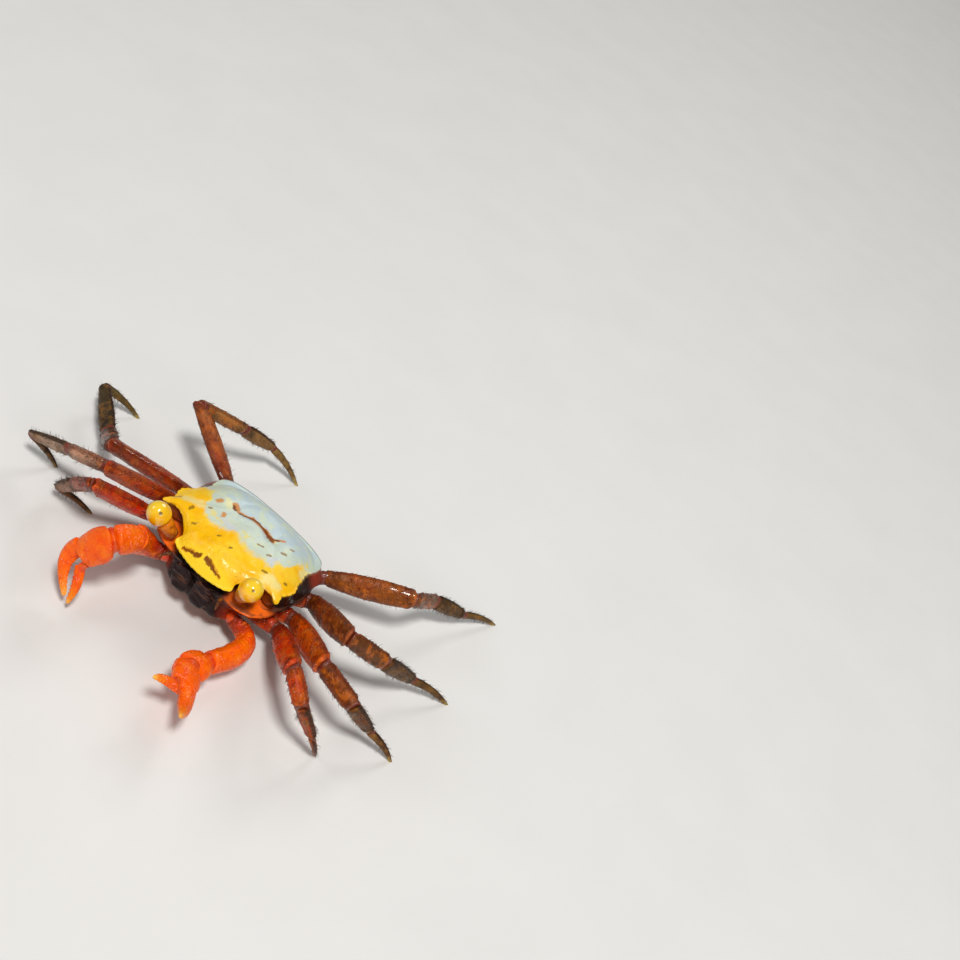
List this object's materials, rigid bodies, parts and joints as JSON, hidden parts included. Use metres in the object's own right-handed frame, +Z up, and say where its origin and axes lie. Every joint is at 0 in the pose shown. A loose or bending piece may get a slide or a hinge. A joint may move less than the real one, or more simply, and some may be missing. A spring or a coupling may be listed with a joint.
{
  "type": "vampire crab",
  "caption": "Still life-size vampire crab with a yellow and pale shell, orange claws and red-brown legs, standing with one claw curled in and the other held forward.",
  "frame": {"origin": "middle of the footprint of the whole animal, on the floor that the toes stand on", "axes": "+X towards the crab's left side, +Y towards its rear, +Z up"},
  "size_m": [0.0464, 0.04, 0.0093],
  "materials": {
    "shell": "wet gloss, mottled yellow to pale blue-white",
    "underside": "satin",
    "eye": "high gloss",
    "stalk": "satin",
    "claw": "wet gloss, granular",
    "leg": "wet gloss, granular",
    "toe": "satin, bristly"
  },
  "bodies": {
    "root": {"carapace": "shell", "underbody": "underside", "abdomen": "underside", "mouth_plate_left": "underside", "eyestalk_left": "stalk", "eye_left": "eye", "antenna_left": "stalk", "claw_left_arm": "claw", "claw_left_wrist": "claw", "claw_left_hand": "claw", "claw_left_finger": "claw", "leg1_left_coxa": "leg", "leg1_left_merus": "leg", "leg1_left_carpus": "leg", "leg1_left_propodus": "toe", "leg1_left_dactyl": "toe", "leg2_left_coxa": "leg", "leg2_left_merus": "leg", "leg2_left_carpus": "leg", "leg2_left_propodus": "toe", "leg2_left_dactyl": "toe", "leg3_left_coxa": "leg", "leg3_left_merus": "leg", "leg3_left_carpus": "leg", "leg3_left_propodus": "toe", "leg3_left_dactyl": "toe", "leg4_left_coxa": "leg", "leg4_left_merus": "leg", "leg4_left_carpus": "leg", "leg4_left_propodus": "toe", "leg4_left_dactyl": "toe", "mouth_plate_right": "underside", "eyestalk_right": "stalk", "eye_right": "eye", "antenna_right": "stalk", "claw_right_arm": "claw", "claw_right_wrist": "claw", "claw_right_hand": "claw", "claw_right_finger": "claw", "leg1_right_coxa": "leg", "leg1_right_merus": "leg", "leg1_right_carpus": "leg", "leg1_right_propodus": "toe", "leg1_right_dactyl": "toe", "leg2_right_coxa": "leg", "leg2_right_merus": "leg", "leg2_right_carpus": "leg", "leg2_right_propodus": "toe", "leg2_right_dactyl": "toe", "leg3_right_coxa": "leg", "leg3_right_merus": "leg", "leg3_right_carpus": "leg", "leg3_right_propodus": "toe", "leg3_right_dactyl": "toe", "leg4_right_coxa": "leg", "leg4_right_merus": "leg", "leg4_right_carpus": "leg", "leg4_right_propodus": "toe", "leg4_right_dactyl": "toe"}
  },
  "joints": []
}
